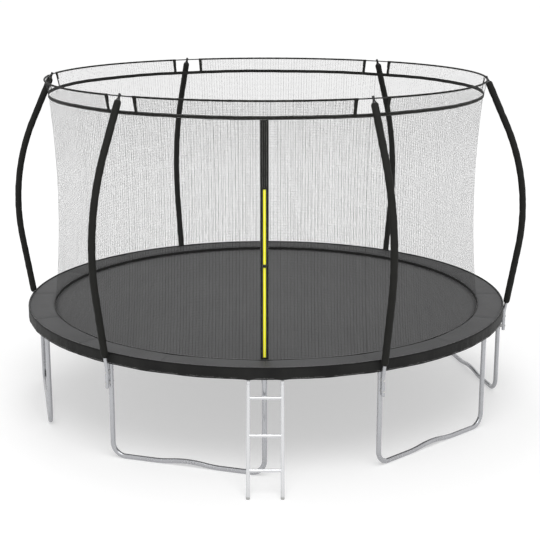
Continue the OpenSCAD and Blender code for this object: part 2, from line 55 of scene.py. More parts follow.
class Value:
    """One output in a node tree. Arithmetic on it adds Math nodes to the tree."""

    def __init__(self, tree, socket):
        self.tree, self.socket = tree, socket

    def put(self, kind, inputs=None, out=0, **settings):
        """Adds a node of this kind to the value's tree and returns one of its outputs."""
        node = self.tree.nodes.new(kind)
        for key, setting in settings.items():
            setattr(node, key, setting)
        for key, value in (inputs or {}).items():
            if isinstance(value, Value):
                self.tree.links.new(value.socket, node.inputs[key])
            else:
                node.inputs[key].default_value = value
        return Value(self.tree, node.outputs[out])

    def math(self, operation, *others):
        return self.put("ShaderNodeMath", dict(enumerate((self,) + others)), operation=operation)

    def __add__(self, other):
        return self.math("ADD", other)

    def __sub__(self, other):
        return self.math("SUBTRACT", other)

    def __mul__(self, other):
        return self.math("MULTIPLY", other)

    def __rsub__(self, other):
        return self * -1.0 + other

    __radd__ = __add__
    __rmul__ = __mul__

    def axis(self, name):
        return self.put("ShaderNodeSeparateXYZ", {0: self}, out="XYZ".index(name))

    def ramp(self, low, high, a=0.0, b=1.0):
        """Runs from a to b while the value runs from low to high."""
        return self.put("ShaderNodeMapRange", {0: self, 1: low, 2: high, 3: a, 4: b})

    def noise(self, scale, detail=3.0):
        """Noise at this point, about 0 to 1, with `scale` features to the metre."""
        return self.put("ShaderNodeTexNoise", {"Vector": self, "Scale": scale, "Detail": detail,
                                               "Roughness": 0.55})

    def stretch(self, x, y, z):
        return self.put("ShaderNodeVectorMath", {0: self, 1: (x, y, z)}, operation="MULTIPLY")

    def mix(self, low, high):
        """A colour between low and high, with this value as the share of high."""
        node = self.tree.nodes.new("ShaderNodeMix")
        node.data_type = "RGBA"
        self.tree.links.new(self.socket, node.inputs["Factor"])
        for name, colour in (("A", low), ("B", high)):
            target = [s for s in node.inputs if s.name == name and s.type == "RGBA"][0]
            target.default_value = (*colour, 1.0)
        return Value(self.tree, [s for s in node.outputs if s.type == "RGBA"][0])


def material(name, paint, **fixed):
    """A Principled material. paint(point, uv) returns what varies: Base_Color, height, ..."""
    made = bpy.data.materials.new(name)
    made.use_nodes = True
    tree = made.node_tree
    tree.nodes.clear()
    shader = tree.nodes.new("ShaderNodeBsdfPrincipled")
    output = tree.nodes.new("ShaderNodeOutputMaterial")
    tree.links.new(shader.outputs[0], output.inputs[0])
    for key, value in fixed.items():
        shader.inputs[key.replace("_", " ")].default_value = value
    coords = tree.nodes.new("ShaderNodeTexCoord")
    point, uv = Value(tree, coords.outputs["Object"]), Value(tree, coords.outputs["UV"])
    varying = paint(point, uv)
    height, depth = varying.pop("height", None), varying.pop("depth", 0.001)
    for key, value in varying.items():
        tree.links.new(value.socket, shader.inputs[key.replace("_", " ")])
    if height is not None:
        bump = point.put("ShaderNodeBump", {"Height": height, "Distance": depth, "Strength": 1.0})
        tree.links.new(bump.socket, shader.inputs["Normal"])
    return made


def dress(starts, finish):
    """Gives the CAD nodes whose names start like this their finish."""
    for node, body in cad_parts.items():
        if node.startswith(starts):
            body.data.materials.clear()
            body.data.materials.append(finish)


def zinc_paint(point, uv):
    spangle = point.put("ShaderNodeTexVoronoi", {"Vector": point, "Scale": 95.0})
    cloud, fine = point.noise(7.0, 4.0), point.noise(420.0, 2.0)
    low = point.axis("Z").ramp(GROUND + 0.22, GROUND)
    dull = (cloud.ramp(0.45, 0.75) * 0.4 + low * cloud * 0.5).math("MINIMUM", 1.0)
    return {"Base_Color": dull.mix((0.47, 0.475, 0.495), (0.36, 0.36, 0.37)),
            "Roughness": spangle * 0.07 + fine * 0.05 + dull * 0.12 + 0.16,
            "height": spangle * 0.3 + fine * 0.2, "depth": 0.0001}


zinc = material("zinc_tube", zinc_paint, Metallic=0.7, Specular_IOR_Level=0.3)
dress(("top_rail", "leg_", "net_pole"), zinc)


def piece(name, verts, faces, finish, uvs=None, smooth=True):
    """A mesh object in the row frame. uvs holds one (u, v) in metres for each vertex."""
    mesh = bpy.data.meshes.new(name)
    mesh.from_pydata([tuple(v) for v in verts], [], [tuple(f) for f in faces])
    mesh.materials.append(finish)
    if uvs is not None:
        layer = mesh.uv_layers.new(name="metres")
        corners = np.empty(len(mesh.loops), dtype=np.int32)
        mesh.loops.foreach_get("vertex_index", corners)
        layer.data.foreach_set("uv", np.asarray(uvs, dtype=np.float32)[corners].ravel())
    mesh.polygons.foreach_set("use_smooth", [smooth] * len(mesh.polygons))
    made = bpy.data.objects.new(name, mesh)
    bpy.context.scene.collection.objects.link(made)
    return made


def join(name, parts, smooth=True):
    """One object from several, with their lengths along and across the cloth kept."""
    verts, faces, uvs, finish = [], [], [], parts[0].data.materials[0]
    for part in parts:
        start, layer = len(verts), part.data.uv_layers.get("metres")
        verts += [tuple(v.co) for v in part.data.vertices]
        faces += [tuple(start + i for i in p.vertices) for p in part.data.polygons]
        here = [(0.0, 0.0)] * len(part.data.vertices)
        for loop in part.data.loops if layer else ():
            here[loop.vertex_index] = tuple(layer.data[loop.index].uv)
        uvs += here
        bpy.data.objects.remove(part)
    return piece(name, verts, faces, finish, uvs, smooth)


class Tree:
    """A geometry node tree with named inputs, run once on an object to make a plain mesh."""

    def __init__(self, name, inputs):
        self.group = bpy.data.node_groups.new(name, "GeometryNodeTree")
        face = self.group.interface
        face.new_socket("Geometry", in_out="INPUT", socket_type="NodeSocketGeometry")
        for key, (kind, start) in inputs.items():
            socket = face.new_socket(key, in_out="INPUT", socket_type="NodeSocket" + kind)
            if start is not None:
                socket.default_value = start
        face.new_socket("Geometry", in_out="OUTPUT", socket_type="NodeSocketGeometry")
        self.entry = self.group.nodes.new("NodeGroupInput")

    def __getitem__(self, key):
        return Value(self.group, self.entry.outputs[key])

    def end(self, geometry):
        """Closes the tree with Realize Instances and Set Material."""
        real = geometry.put("GeometryNodeRealizeInstances", {0: geometry})
        dressed = real.put("GeometryNodeSetMaterial", {0: real, "Material": self["Material"]})
        leave = self.group.nodes.new("NodeGroupOutput")
        self.group.links.new(dressed.socket, leave.inputs[0])
        return self

    def run(self, base, name, **values):
        """Sets the inputs on base, reads the result as a new mesh object and drops base."""
        modifier = base.modifiers.new("nodes", "NODES")
        modifier.node_group = self.group
        keys = {s.name: s.identifier for s in self.group.interface.items_tree
                if s.in_out == "INPUT"}
        for key, value in values.items():
            modifier[keys[key]] = value
        bpy.context.view_layer.update()
        shown = base.evaluated_get(bpy.context.evaluated_depsgraph_get())
        mesh = bpy.data.meshes.new_from_object(shown)
        mesh.name = name
        base.modifiers.remove(modifier)
        bpy.data.objects.remove(base)
        made = bpy.data.objects.new(name, mesh)
        bpy.context.scene.collection.objects.link(made)
        return made


def ring_tree():
    """Copies of what comes in, turned about the trampoline's axis."""
    tree = Tree("around_axis", {"Count": ("Int", POLES), "Start": ("Float", 0.0),
                                "Step": ("Float", STEP), "Material": ("Material", None)})
    points = tree["Count"].put("GeometryNodePoints", {"Count": tree["Count"]})
    turn = points.put("GeometryNodeInputIndex") * tree["Step"] + tree["Start"]
    spin = turn.put("ShaderNodeCombineXYZ", {2: turn})
    rotation = spin.put("FunctionNodeEulerToRotation", {0: spin})
    return tree.end(points.put("GeometryNodeInstanceOnPoints", {
        "Points": points, "Instance": tree["Geometry"], "Rotation": rotation}))


def bar_tree():
    """A round bar along the edges that come in, as thick as each point's `radius` says."""
    tree = Tree("round_bar", {"Sides": ("Int", 24), "Material": ("Material", None)})
    line = tree["Geometry"].put("GeometryNodeMeshToCurve", {0: tree["Geometry"]})
    ring = line.put("GeometryNodeCurvePrimitiveCircle",
                    {"Resolution": tree["Sides"], "Radius": 1.0})
    named = line.put("GeometryNodeInputNamedAttribute", {"Name": "radius"}, data_type="FLOAT")
    bar = line.put("GeometryNodeCurveToMesh", {"Curve": line, "Profile Curve": ring,
                                               "Scale": named, "Fill Caps": True})
    return tree.end(bar.put("GeometryNodeSetShadeSmooth", {0: bar}))


AROUND, BAR = ring_tree(), bar_tree()


def polar(r, a, z):
    return (r * math.cos(a), r * math.sin(a), z)


def path(points, closed=False, radius=None):
    """An object of bare edges through the points, for the trees above."""
    count = len(points)
    edges = [(i, (i + 1) % count) for i in range(count if closed else count - 1)]
    mesh = bpy.data.meshes.new("path")
    mesh.from_pydata([tuple(p) for p in points], edges, [])
    if radius is not None:
        values = radius if hasattr(radius, "__len__") else [radius] * count
        mesh.attributes.new("radius", "FLOAT", "POINT").data.foreach_set("value", values)
    made = bpy.data.objects.new("path", mesh)
    bpy.context.scene.collection.objects.link(made)
    return made


def ride_on(made, body):
    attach(made, body)
    return made


def bead(centre, r, thick, lift, count=48):
    """A weld bead round an upright tube, raised by `lift` where the rail curves away."""
    wobble = random.Random(5)
    turns = [2 * math.pi * i / count for i in range(count)]
    points = [(centre[0] + r * math.cos(a), centre[1] + r * math.sin(a),
               centre[2] + lift * math.sin(a) ** 2) for a in turns]
    return BAR.run(path(points, True, [thick * wobble.uniform(0.82, 1.15) for _ in turns]),
                   "bead", Sides=8, Material=zinc)


# The beads under the rail and the rolled rims where the posts enter the leg bases.
SOCKET_WELD_Z, LEG_JOINT_Z = -0.0345, GROUND + 0.3296
for name, z, r, thick, lift in (("socket_welds", SOCKET_WELD_Z, 0.0212, 0.0026, 0.0085),
                                ("leg_joint_rims", LEG_JOINT_Z, 0.0188, 0.0010, 0.0)):
    two = join("two", [bead(polar(RAIL_R, a, z), r, thick, lift)
                       for a in (POLE0, POLE0 + LEG_SPAN)])
    ride_on(AROUND.run(two, name, Count=POLES, Start=0.0, Step=STEP, Material=zinc),
            "frame")

# ------------------------------------------------------------------ screws and pole bolts
# Self-tapping screws lock the posts in their sockets, and two long bolts with nuts
# hold each pole to its leg. All are zinc-plated steel, slightly yellowed.
def plated_paint(point, uv):
    cloud, fine = point.noise(60.0, 3.0), point.noise(900.0, 2.0)
    return {"Base_Color": cloud.ramp(0.4, 0.8).mix((0.62, 0.62, 0.60), (0.40, 0.39, 0.36)),
            "Roughness": cloud * 0.25 + 0.18, "height": fine, "depth": 0.0001}


plated = material("zinc_plate", plated_paint, Metallic=1.0)
dress(("frame_screws", "pole_bolts", "pole_nuts"), plated)

# ------------------------------------------------------------------ pole spacers, plugs and caps
# Moulded plastic: light grey blocks between leg and pole and light plugs in the
# poles' lower ends, and black caps at the tips that carry the hoop.
def moulded(dark, light, rough):
    def paint(point, uv):
        grain, cloud = point.noise(1500.0, 2.0), point.noise(30.0, 3.0)
        return {"Base_Color": cloud.mix(dark, light), "Roughness": cloud * 0.15 + rough,
                "height": grain, "depth": 0.00015}
    return paint


plastic = material("black_plastic", moulded((0.014,) * 3, (0.028,) * 3, 0.42),
                   Specular_IOR_Level=0.3)
grey_plastic = material("grey_plastic", moulded((0.38,) * 3, (0.48,) * 3, 0.40))
dress(("pole_caps", "top_hoop"), plastic)
dress(("pole_spacers",), grey_plastic)
PAD_OUT, POLE_GAP, POLE_TUBE_R, POLE_FOOT_Z = 2.070, 0.0006, 0.014, -0.240
POLE_R = PAD_OUT + POLE_GAP + POLE_TUBE_R


def strips(rows, columns, close_rows=False, close_columns=False):
    """Quads of a grid whose vertex (r, c) has the number r * columns + c."""
    last_r = rows if close_rows else rows - 1
    last_c = columns if close_columns else columns - 1
    faces = []
    for r in range(last_r):
        for c in range(last_c):
            r1, c1 = (r + 1) % rows, (c + 1) % columns
            faces.append((r * columns + c, r * columns + c1, r1 * columns + c1, r1 * columns + c))
    return faces


def turned(name, centre, direction, profile, finish, sides=32):
    """A part turned about a line: profile holds (distance along it, radius)."""
    d = direction.normalized()
    a = d.cross(Vector((1, 0, 0)) if abs(d.x) < 0.9 else Vector((0, 1, 0))).normalized()
    b = d.cross(a)
    verts = [centre + d * h + (a * math.cos(2 * math.pi * c / sides)
                               + b * math.sin(2 * math.pi * c / sides)) * r
             for h, r in profile for c in range(sides)]
    faces = strips(len(profile), sides, close_columns=True)
    faces += [tuple(range(sides))[::-1], tuple(range(len(verts) - sides, len(verts)))]
    return piece(name, verts, faces, finish)


plug = turned("plug", Vector(polar(POLE_R, POLE0, POLE_FOOT_Z)), Vector((0, 0, -1)),
              [(-0.008, 0.0120), (0.0003, 0.0122), (0.0003, 0.0137), (0.0016, 0.0139),
               (0.0034, 0.0128), (0.0044, 0.0095), (0.0047, 0.0050)], grey_plastic)
ride_on(AROUND.run(plug, "pole_foot_plugs", Count=POLES, Start=0.0, Step=STEP,
                   Material=grey_plastic), "frame")

# ------------------------------------------------------------------ foam sleeves
# Closed-cell foam tubes in a black cloth cover, pushed over the poles. The cover
# is sewn along the side that faces the net and drawn in at both ends.
# The pole's stretches from its foot are (0, length) or (turn in degrees, bend radius).
POLE_STEPS = [(0, 0.145), (-9.2, 0.150), (0, 0.576), (34.0, 1.820), (0, 0.402)]
SLEEVE0, SLEEVE1, SLEEVE_R, SLEEVE_BORE = 0.2451, 2.2251, 0.0278, 0.0144
FOOT_END, TIP_END = 0.030, 0.024


def weave(u, v, pitch):
    """Height of a plain weave with threads `pitch` apart, 0 to 1."""
    a, b = (u * (math.pi / pitch)).math("SINE"), (v * (math.pi / pitch)).math("SINE")
    over = (a * b).math("SIGN").ramp(-1.0, 1.0)
    return a.math("ABSOLUTE") * over + b.math("ABSOLUTE") * (1.0 - over)


def sleeve_paint(point, uv):
    cloud, fold = point.noise(9.0, 4.0), point.noise(60.0, 2.0)
    return {"Base_Color": cloud.mix((0.012, 0.012, 0.011), (0.024, 0.024, 0.022)),
            "Roughness": cloud * 0.2 + 0.50,
            "height": weave(uv.axis("X"), uv.axis("Y"), 0.0016) * 0.5 + fold, "depth": 0.0003}


sleeve_cloth = material("sleeve_cloth", sleeve_paint, Specular_IOR_Level=0.09)


def pole_point(s):
    """(radius, height, outward lean) of the pole's centreline, s metres from its foot."""
    r, z, lean = POLE_R, POLE_FOOT_Z, 0.0
    for turn, size in POLE_STEPS:
        length = size if turn == 0 else size * math.radians(abs(turn))
        part = min(max(s, 0.0), length) if (turn, size) != POLE_STEPS[-1] else s
        if turn == 0:
            r, z = r + part * math.sin(lean), z + part * math.cos(lean)
        else:
            side = -1.0 if turn > 0 else 1.0
            swing = side * part / size
            r += side * size * (math.cos(lean) - math.cos(lean + swing))
            z += side * size * (math.sin(lean + swing) - math.sin(lean))
            lean += swing
        s -= part
        if s <= 1e-9:
            break
    return r, z, lean


def foam_sleeve(i, rings=190, sides=40):
    """A swept tube with shallow creases; its seam ridge faces the net."""
    chance = random.Random(40 + i)
    angle = POLE0 + i * STEP
    radial, across = Vector(polar(1, angle, 0)), Vector(polar(1, angle + math.pi / 2, 0))
    creases = [(chance.uniform(0.05, 1.9), chance.uniform(0.010, 0.022), chance.uniform(0, 6.28),
                chance.uniform(0.0004, 0.0014)) for _ in range(26)]
    verts, uvs = [], []

    def ring_of(s, radius):
        """One ring of points round the pole; radius(t) gives its distance at each side."""
        r, z, lean = pole_point(s)
        centre = radial * r + Vector((0, 0, z))
        out = radial * math.cos(lean) - Vector((0, 0, math.sin(lean)))
        for t in [2 * math.pi * c / sides for c in range(sides)]:
            verts.append(centre + (out * math.cos(t) + across * math.sin(t)) * radius(t))
            uvs.append((s, t * SLEEVE_R))

    for k in range(rings + 1):
        s = SLEEVE0 + (SLEEVE1 - SLEEVE0) * k / rings
        gone, left = min(s - SLEEVE0, FOOT_END) / FOOT_END, min(SLEEVE1 - s, TIP_END) / TIP_END
        end = 0.70 + 0.30 * math.sqrt(max(0.0, 1 - (1 - gone) ** 2))
        end *= 0.66 + 0.34 * math.sqrt(max(0.0, 1 - (1 - left) ** 2))
        clear = min(max((s - SLEEVE0 - 0.05) / 0.05, 0.0), 1.0)

        def radius(t):
            dent = sum(deep * math.exp(-((s - SLEEVE0 - at) / wide) ** 2)
                       * max(0.0, math.cos(t - turn)) ** 2
                       for at, wide, turn, deep in creases if abs(s - SLEEVE0 - at) < 3 * wide)
            pull = 0.0009 * math.sin(s * 61 + 2 * t + i) * math.sin(s * 17 + i * 2.0)
            seam = 0.0012 * math.exp(-((t - math.pi) / 0.07) ** 2)
            return SLEEVE_R * end - dent + (pull * end + seam) * clear
        ring_of(s, radius)
    faces = strips(rings + 1, sides, close_columns=True)
    for row, s in ((0, SLEEVE0), (rings, SLEEVE1)):
        hub = len(verts)
        ring_of(s, lambda t: SLEEVE_BORE)
        for c in range(sides):
            a, b = row * sides + c, row * sides + (c + 1) % sides
            e, f = hub + c, hub + (c + 1) % sides
            faces.append((a, b, f, e) if row else (b, a, e, f))
    made = piece(f"sleeve_cover_{i + 1}", verts, faces, sleeve_cloth, uvs)
    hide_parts(f"foam_sleeve_{i + 1}")
    ride_on(made, "frame")


for i in range(POLES):
    foam_sleeve(i)

# ------------------------------------------------------------------ jumping mat
# Tight black polypropylene weave with a doubled edge, sewn down in three rows. It is
# stretched by the springs.
MAT_R, MAT_EDGE, SPRINGS, SPRING_STEP = 1.878, 0.044, 72, math.radians(5)
BED_R, COIL_END_R = MAT_R - MAT_EDGE, RAIL_R - 0.027


def row_tree():
    """Small items, such as stitches, set along the edges that come in."""
    tree = Tree("along_path", {"Pitch": ("Float", 0.01), "Material": ("Material", None),
                               "Size": ("Vector", (0.0006, 0.0006, 0.003))})
    line = tree["Geometry"].put("GeometryNodeMeshToCurve", {0: tree["Geometry"]})
    even = line.put("GeometryNodeResampleCurve", {"Curve": line, "Length": tree["Pitch"]},
                    mode="LENGTH")
    points = even.put("GeometryNodeCurveToPoints", {"Curve": even}, mode="EVALUATED")
    turned_to = Value(tree.group, points.socket.node.outputs["Rotation"])
    item = even.put("GeometryNodeMeshIcoSphere", {"Radius": 1.0, "Subdivisions": 1})
    return tree.end(points.put("GeometryNodeInstanceOnPoints", {
        "Points": points, "Instance": item, "Rotation": turned_to, "Scale": tree["Size"]}))


ALONG = row_tree()


def thread_paint(point, uv):
    cloud = point.noise(5.0, 3.0)
    return {"Base_Color": cloud.mix((0.016, 0.016, 0.016), (0.036, 0.036, 0.036)),
            "Roughness": cloud * 0.2 + 0.55}


stitch = material("black_thread", thread_paint, Specular_IOR_Level=0.2)


def circle(r, z, count=360, a0=0.0, a1=2 * math.pi):
    """Points round the axis; the last one is left out of a whole turn."""
    whole = abs(a1 - a0 - 2 * math.pi) < 1e-6
    return [polar(r, a0 + (a1 - a0) * i / (count if whole else count - 1), z) for i in range(count)]


def stitched(points, closed=True, pitch=0.011, half=0.0034):
    """A row of lock stitches along points."""
    return ALONG.run(path(points, closed), "row", Pitch=pitch, Size=(0.0006, 0.0006, half),
                     Material=stitch)


def mat_paint(point, uv):
    streak, cloud = point.stretch(60.0, 1.2, 1.0).noise(1.0, 2.0), point.noise(1.6, 4.0)
    tone = (streak * 0.55 + cloud * 0.45).ramp(0.35, 0.65)
    return {"Base_Color": tone.mix((0.088, 0.088, 0.089), (0.114, 0.114, 0.115)),
            "Roughness": cloud * 0.12 + 0.66,
            "height": weave(point.axis("X"), point.axis("Y"), 0.0030), "depth": 0.0006}


def edge_paint(point, uv):
    cloud = point.noise(8.0, 3.0)
    return {"Base_Color": cloud.mix((0.026, 0.026, 0.026), (0.046, 0.046, 0.046)),
            "Roughness": cloud * 0.15 + 0.55,
            "height": weave(uv.axis("X"), uv.axis("Y"), 0.0022), "depth": 0.0005}


mat_cloth = material("mat_weave", mat_paint, Specular_IOR_Level=0.22)
mat_hem = material("mat_edge_weave", edge_paint, Specular_IOR_Level=0.22)


def dip(made):
    """Bakes the object's placement into its mesh and reads its points; it moves none of them."""
    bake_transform(made)
    co = np.empty(len(made.data.vertices) * 3)
    made.data.vertices.foreach_get("co", co)


def disc(name, outline, finish, sectors=180, mean_r=1.8):
    """A surface of revolution through (radius, height) pairs; mean_r scales its UV map."""
    turns = [2 * math.pi * c / sectors for c in range(sectors)]
    verts = [polar(r, a, z) for r, z in outline for a in turns]
    uvs = [(r, a * mean_r) for r, z in outline for a in turns]
    return piece(name, verts, strips(len(outline), sectors, close_columns=True), finish, uvs)


bed_r = [0.002] + [0.04 * k for k in range(1, 46)] + [BED_R + 0.004]
bed_top = [(r, -0.0012 + 0.0004 * math.sin(r * 40)) for r in bed_r]
bed = disc("mat_bed", [(r, z - 0.0016) for r, z in bed_top] + bed_top[::-1] + [(0.002, -0.0028)],
           mat_cloth)
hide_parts("mat")
border = disc("mat_edge", [(BED_R, -0.0010), (BED_R + 0.002, 0.0), (MAT_R - 0.004, 0.0),
                           (MAT_R - 0.001, -0.0015), (MAT_R, -0.0035), (MAT_R - 0.001, -0.0055),
                           (MAT_R - 0.004, -0.0070), (BED_R + 0.002, -0.0070), (BED_R, -0.0040),
                           (BED_R, -0.0010)], mat_hem, 288)
mat_stitches = join("mat_stitches", [stitched(circle(MAT_R - d, 0.0003, 720), pitch=0.010)
                                     for d in (0.010, 0.022, 0.038)])
for made, slot in ((bed, "mat_fabric"), (border, "mat_fabric"), (mat_stitches, "webbing")):
    dip(made)

# ------------------------------------------------------------------ springs and V-rings
# Closed-coil zinc springs, hooked over a V-ring at one end and reaching the rail's
# inner side at the other. Webbing tabs sewn to the mat's edge hold the rings.
SPRING_Z, WIRE_R = 0.0003, 0.00175


def spring_paint(point, uv):
    cloud = point.noise(40.0, 3.0)
    return {"Base_Color": cloud.mix((0.62, 0.62, 0.62), (0.45, 0.45, 0.46)),
            "Roughness": cloud * 0.2 + 0.22, "height": point.noise(700.0, 2.0), "depth": 0.0001}


steel = material("spring_steel", spring_paint, Metallic=1.0)


def spring_path(turns=23, per=9, r=0.0083):
    """Hook over the ring, neck, closed coil, neck and the bent end at the rail."""
    coil0, coil1, hook_r = MAT_R + 0.041, MAT_R + 0.130, MAT_R + 0.0255
    points = [(hook_r + 0.0055 * math.cos(t), 0.0, SPRING_Z + 0.0055 * math.sin(t))
              for t in [math.radians(d) for d in (-110, -150, 170, 130, 90)]]
    points += [(coil0 - 0.004, 0.0, SPRING_Z + 0.0070)]
    for k in range(turns * per + 1):
        t = 2 * math.pi * k / per + math.pi / 2
        points.append((coil0 + (coil1 - coil0) * k / (turns * per), r * math.cos(t),
                       SPRING_Z + r * math.sin(t)))
    points += [(coil1 + 0.003, 0.0, SPRING_Z + 0.0070), (coil1 + 0.005, 0.0, SPRING_Z + 0.002),
               (coil1 + 0.0075, 0.0, SPRING_Z - 0.004)]
    return points


def v_ring():
    corners = [(0.0020, -0.0165), (0.0020, 0.0165), (0.0280, 0.0035), (0.0298, 0.0),
               (0.0280, -0.0035)]
    points = []
    for k, (x, y) in enumerate(corners):
        nx, ny = corners[(k + 1) % len(corners)]
        points += [(MAT_R + x + (nx - x) * t, y + (ny - y) * t, -0.0035) for t in (0.06, 0.5, 0.94)]
    return path(points, True, WIRE_R)


def web_paint(point, uv):
    rib = (uv.axis("X") * (math.pi / 0.0011)).math("SINE").math("ABSOLUTE")
    cross = (uv.axis("Y") * (math.pi / 0.0016)).math("SINE").math("ABSOLUTE")
    cloud = point.noise(14.0, 3.0)
    return {"Base_Color": cloud.mix((0.011, 0.011, 0.010), (0.024, 0.024, 0.022)),
            "Roughness": cloud * 0.15 + 0.55, "height": rib * 0.7 + cross * 0.3, "depth": 0.0003}


webbing = material("webbing", web_paint, Specular_IOR_Level=0.12)


def ribbon(points, sides, outs, half, thick, finish):
    """A flat band of webbing: its middle follows points, `half` wide each way."""
    verts, uvs, along = [], [], 0.0
    for k, (p, side, out) in enumerate(zip(points, sides, outs)):
        along += (p - points[k - 1]).length if k else 0.0
        for s, o in ((-1, 0), (-0.97, 1), (0.97, 1), (1, 0), (0.97, -1), (-0.97, -1)):
            verts.append(p + side * (half * s) + out * (thick * 0.5 * o))
            uvs.append((half * s, along))
    faces = strips(len(points), 6, close_columns=True)
    faces += [tuple(range(5, -1, -1)), tuple(range(len(verts) - 6, len(verts)))]
    return piece("ribbon", verts, faces, finish, uvs, smooth=False)


def tab():
    """Webbing loop round the ring's straight side, sewn down on the mat's edge."""
    route = [(-0.030, 0.0012), (-0.012, 0.0012), (-0.0005, 0.0008), (0.0045, -0.0012),
             (0.0052, -0.0035), (0.0045, -0.0058), (-0.0005, -0.0078), (-0.012, -0.0082),
             (-0.030, -0.0082)]
    points = [Vector((MAT_R + x, 0, z)) for x, z in route]
    outs = []
    for k in range(len(points)):
        step = points[min(k + 1, len(points) - 1)] - points[max(k - 1, 0)]
        outs.append(Vector((-step.z, 0, step.x)).normalized())
    return ribbon(points, [Vector((0, 1, 0))] * len(points), outs, 0.0125, 0.0014, webbing)


for name, made, node, slot, finish in (
        ("coil_springs", BAR.run(path(spring_path(), radius=WIRE_R), "spring", Sides=5,
                                 Material=steel), "springs", "spring_steel", steel),
        ("mat_v_rings", BAR.run(v_ring(), "ring", Sides=6, Material=steel), "mat_rings",
         "spring_steel", steel),
        ("ring_tabs", tab(), None, "webbing", webbing)):
    made = AROUND.run(made, name, Count=SPRINGS, Start=SPRING_STEP / 2, Step=SPRING_STEP,
                      Material=finish)
    if node:
        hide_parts(node)
    dip(made)

# ------------------------------------------------------------------ safety pad
# Foam in coated cloth: sixteen sections sewn end to end, dark grey on top. A black
# skirt is sewn round the outer edge and a black binding closes the inner edge.
PAD_IN, PAD_Z0, PAD_Z1, SKIRT_FLAT = 1.842, 0.012, 0.038, 0.112
SECTIONS = 16
SECTION = 2 * math.pi / SECTIONS
LADDER_X = 0.124
LADDER_A = 0.0599  # from the middle of the -Y side to a ladder tube, which the skirt covers


def pad_paint(point, uv):
    cloud, fold = point.noise(2.2, 4.0), point.noise(14.0, 3.0)
    tone = (cloud * 0.6 + fold * 0.4).ramp(0.35, 0.68)
    return {"Base_Color": tone.mix((0.056, 0.056, 0.057), (0.078, 0.078, 0.080)),
            "Roughness": fold * 0.18 + 0.46,
            "height": weave(point.axis("X"), point.axis("Y"), 0.0024) * 0.35 + fold * 3.0,
            "depth": 0.0006}


def skirt_paint(point, uv):
    cloud, fold = point.noise(3.0, 4.0), point.stretch(1.0, 1.0, 0.3).noise(20.0, 3.0)
    # Painted shade: the skirt's top band, where it turns over the pad's rim, is painted near black
    # to stand in for the shaded groove there.
    rim = point.axis("Z").ramp(PAD_Z1 - 0.005, PAD_Z1 - 0.012)
    tone = cloud.ramp(0.3, 0.7) * rim
    return {"Base_Color": tone.mix((0.006, 0.006, 0.006), (0.018, 0.018, 0.017)),
            "Roughness": fold * 0.2 + 0.45,
            "height": weave(uv.axis("X"), uv.axis("Y"), 0.0024) * 0.3 + fold * 5.0,
            "depth": 0.0006}


pad_top_cloth = material("pad_cover", pad_paint, Specular_IOR_Level=0.14)
skirt_cloth = material("pad_skirt", skirt_paint, Specular_IOR_Level=0.16)


def pad_section(columns=60, rows=26):
    """One closed section between two channels, before it is stuffed: shape and sewn points."""
    channel, puff, rounded = 0.020, 0.0080, 0.16  # rounded: the share of the width at each edge
    loop = [(k / rows, 1.0) for k in range(rows + 1)]
    loop += [(1 - k / rows, -1.0) for k in range(1, rows)]
    verts, sewn = [], []
    for c in range(columns + 1):
        s = c / columns
        near = min(s, 1 - s) * SECTION * 1.95
        swell = 1 - math.exp(-(near / channel) ** 1.15)
        long_swell = math.sin(math.pi * s) ** 0.5
        for t, side in loop:
            drawn_in = 0.006 * (1 - long_swell) * (1 - t)
            r = PAD_IN + 0.0015 + (PAD_OUT - 0.005 - PAD_IN) * t + drawn_in
            crown = (1 - (1 - min(min(t, 1 - t) / rounded, 1)) ** 2) ** 0.5
            rim = PAD_Z1 - 0.009 - 0.006 * (1 - min(t / 0.25, 1)) ** 2
            if side > 0:
                z = rim + crown * (0.003 + puff * swell * (0.55 + 0.45 * long_swell))
            else:
                z = rim + (PAD_Z0 + 0.0016 - rim) * crown * (0.35 + 0.65 * swell)
            if c in (0, columns) or t in (0.0, 1.0) or side < 0:
                sewn.append(len(verts))
            verts.append(polar(r, SECTION * s, z))
    faces = [f[::-1] for f in strips(columns + 1, len(loop), close_columns=True)]
    faces.append(tuple(range(len(loop))))
    faces.append(tuple(range(len(verts) - 1, len(verts) - len(loop) - 1, -1)))
    return piece("section", verts, faces, pad_top_cloth), sewn


def stuff(made, sewn, pressure=5.0, most=0.0050):
    """Swells a closed cover by a cloth simulation; no point moves more than `most`."""
    start = np.empty(len(made.data.vertices) * 3)
    made.data.vertices.foreach_get("co", start)
    held = made.vertex_groups.new(name="sewn")
    held.add(sewn, 1.0, "REPLACE")
    cloth = made.modifiers.new("stuffing", "CLOTH")
    rule = cloth.settings
    rule.quality, rule.mass, rule.bending_stiffness = 6, 0.3, 0.15
    rule.tension_stiffness = rule.compression_stiffness = 18.0
    rule.shear_stiffness, rule.shrink_min = 6.0, -0.035
    rule.use_pressure, rule.uniform_pressure_force = True, pressure
    rule.vertex_group_mass = held.name
    rule.effector_weights.gravity = 0.0
    for step in range(1, 21):
        bpy.context.scene.frame_set(step)
    shown = made.evaluated_get(bpy.context.evaluated_depsgraph_get()).data
    swollen = np.empty(len(start))
    shown.vertices.foreach_get("co", swollen)
    made.modifiers.remove(cloth)
    made.vertex_groups.remove(held)
    bpy.context.scene.frame_set(1)
    move = (swollen - start).reshape(-1, 3)
    size = np.maximum(np.linalg.norm(move, axis=1, keepdims=True), 1e-9)
    place = start.reshape(-1, 3) + move * (most * np.tanh(size / most) / size)
    place[:, 2] = np.clip(place[:, 2], PAD_Z0 + 0.001, PAD_Z1 + 0.0045)
    made.data.vertices.foreach_set("co", place.ravel())
    made.data.update()


section, sewn = pad_section()
stuff(section, sewn)
pad = AROUND.run(section, "pad_sections", Count=SECTIONS, Start=0.0, Step=SECTION,
                 Material=pad_top_cloth)
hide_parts("safety_pad")


